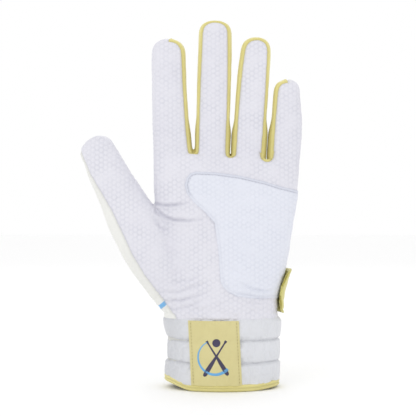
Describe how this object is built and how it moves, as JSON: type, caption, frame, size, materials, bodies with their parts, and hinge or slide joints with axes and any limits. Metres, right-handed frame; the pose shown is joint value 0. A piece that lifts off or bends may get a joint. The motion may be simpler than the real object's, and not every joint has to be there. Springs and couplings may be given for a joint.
{
  "type": "batting glove",
  "caption": "Left-hand batting glove with embossed palm, side walls between the fingers, palm overlay, padded channelled cuff and hook-and-loop wrist strap.",
  "frame": {"origin": "centre of the cuff's mouth, on the plane of its lower rim", "axes": "+Z from the cuff to the fingertips, -Y out of the palm, -X towards the thumb"},
  "size_m": [0.1368, 0.0503, 0.231],
  "materials": {
    "palm_leather": "white synthetic leather embossed with small hexagons",
    "back_leather": "smooth off-white synthetic leather",
    "side_leather": "pale yellow stretch leather",
    "overlay_leather": "white overlay with a faint blue cast",
    "cuff_cloth": "knitted cloth quilted in channels",
    "lining_cloth": "brushed lining",
    "foam": "soft foam",
    "binding_tape": "yellow folded tape",
    "label_cloth": null,
    "strap_leather": "yellow strap",
    "hook_tape": "moulded hooks",
    "loop_tape": "brushed loops",
    "elastic_tape": "woven elastic",
    "stretch_cloth": "stretch mesh"
  },
  "bodies": {
    "cuff": {"cuff_binding": "binding_tape", "cuff_channel_skin": "cuff_cloth", "cuff_channel_foam": "foam", "cuff_lining": "lining_cloth", "wrist_channel_skin": "cuff_cloth", "wrist_channel_foam": "foam", "wrist_lining": "lining_cloth", "wrist_label": "label_cloth", "size_tag": "lining_cloth"},
    "hand": {"palm_panel": "palm_leather", "back_panel": "back_leather", "web_fourchette_index_middle": "side_leather", "web_fourchette_middle_ring": "side_leather", "web_fourchette_ring_little": "side_leather", "palm_overlay": "overlay_leather", "palm_foam_pad": "foam", "wrist_elastic": "elastic_tape", "slit_gusset": "stretch_cloth", "loop_patch": "loop_tape", "strap_anchor": "strap_leather"},
    "index_base": {"index_base_front": "palm_leather", "index_base_back": "back_leather", "index_base_fourchette": "side_leather"},
    "index_tip": {"index_tip_front": "palm_leather", "index_tip_back": "back_leather", "index_tip_fourchette": "side_leather"},
    "middle_base": {"middle_base_front": "palm_leather", "middle_base_back": "back_leather", "middle_base_fourchette_index_side": "side_leather", "middle_base_fourchette_ring_side": "side_leather"},
    "middle_tip": {"middle_tip_front": "palm_leather", "middle_tip_back": "back_leather", "middle_tip_fourchette_index_side": "side_leather", "middle_tip_fourchette_ring_side": "side_leather"},
    "ring_base": {"ring_base_front": "palm_leather", "ring_base_back": "back_leather", "ring_base_fourchette_middle_side": "side_leather", "ring_base_fourchette_little_side": "side_leather"},
    "ring_tip": {"ring_tip_front": "palm_leather", "ring_tip_back": "back_leather", "ring_tip_fourchette_middle_side": "side_leather", "ring_tip_fourchette_little_side": "side_leather"},
    "little_base": {"little_base_front": "palm_leather", "little_base_back": "back_leather", "little_base_fourchette": "side_leather"},
    "little_tip": {"little_tip_front": "palm_leather", "little_tip_back": "back_leather", "little_tip_fourchette": "side_leather"},
    "thumb_base": {"thumb_base_front": "palm_leather", "thumb_base_back": "back_leather"},
    "thumb_tip": {"thumb_tip_front": "palm_leather", "thumb_tip_back": "back_leather"},
    "strap": {"strap_band": "strap_leather", "strap_hook_patch": "hook_tape"},
    "strap_tab": {"pull_tab": "strap_leather", "tab_hook_patch": "hook_tape"}
  },
  "joints": [
    {"name": "wrist_flex", "type": "hinge", "parent": "cuff", "child": "hand", "pos_m": [0, 0, 0.038], "axis": [1, 0, 0], "range_deg": [-25, 25], "deforming": ["wrist_channel_skin", "wrist_channel_foam", "wrist_lining", "wrist_label"]},
    {"name": "index_knuckle", "type": "hinge", "parent": "hand", "child": "index_base", "pos_m": [-0.03197, 0, 0.156], "axis": [0.9997, 0, 0.0244], "range_deg": [0, 70]},
    {"name": "index_middle_joint", "type": "hinge", "parent": "index_base", "child": "index_tip", "pos_m": [-0.03251, 0, 0.17799], "axis": [0.9997, 0, 0.0244], "range_deg": [0, 85]},
    {"name": "middle_knuckle", "type": "hinge", "parent": "hand", "child": "middle_base", "pos_m": [-0.00577, 0, 0.156], "axis": [0.9998, 0, -0.0209], "range_deg": [0, 70]},
    {"name": "middle_middle_joint", "type": "hinge", "parent": "middle_base", "child": "middle_tip", "pos_m": [-0.00525, 0, 0.18099], "axis": [0.9998, 0, -0.0209], "range_deg": [0, 85]},
    {"name": "ring_knuckle", "type": "hinge", "parent": "hand", "child": "ring_base", "pos_m": [0.01784, 0, 0.15597], "axis": [0.9971, 0, -0.0767], "range_deg": [0, 70]},
    {"name": "ring_middle_joint", "type": "hinge", "parent": "ring_base", "child": "ring_tip", "pos_m": [0.01957, 0, 0.1784], "axis": [0.9971, 0, -0.0767], "range_deg": [0, 85]},
    {"name": "little_knuckle", "type": "hinge", "parent": "hand", "child": "little_base", "pos_m": [0.03997, 0, 0.15449], "axis": [0.9993, 0, -0.0384], "range_deg": [0, 70]},
    {"name": "little_middle_joint", "type": "hinge", "parent": "little_base", "child": "little_tip", "pos_m": [0.04066, 0, 0.17248], "axis": [0.9993, 0, -0.0384], "range_deg": [0, 85]},
    {"name": "thumb_knuckle", "type": "hinge", "parent": "hand", "child": "thumb_base", "pos_m": [-0.0623, -0.002, 0.11888], "axis": [0.8829, 0, 0.4695], "range_deg": [0, 40]},
    {"name": "thumb_middle_joint", "type": "hinge", "parent": "thumb_base", "child": "thumb_tip", "pos_m": [-0.07146, -0.002, 0.1361], "axis": [0.8829, 0, 0.4695], "range_deg": [0, 60]},
    {"name": "strap_open", "type": "hinge", "parent": "hand", "child": "strap", "pos_m": [-0.025, 0.01898, 0.0605], "axis": [0, -0.0355, 0.9994], "range_deg": [0, 110]},
    {"name": "tab_peel", "type": "hinge", "parent": "strap", "child": "strap_tab", "pos_m": [0.02, 0.02143, 0.0605], "axis": [0, -0.0315, 0.9995], "range_deg": [0, 70]}
  ]
}
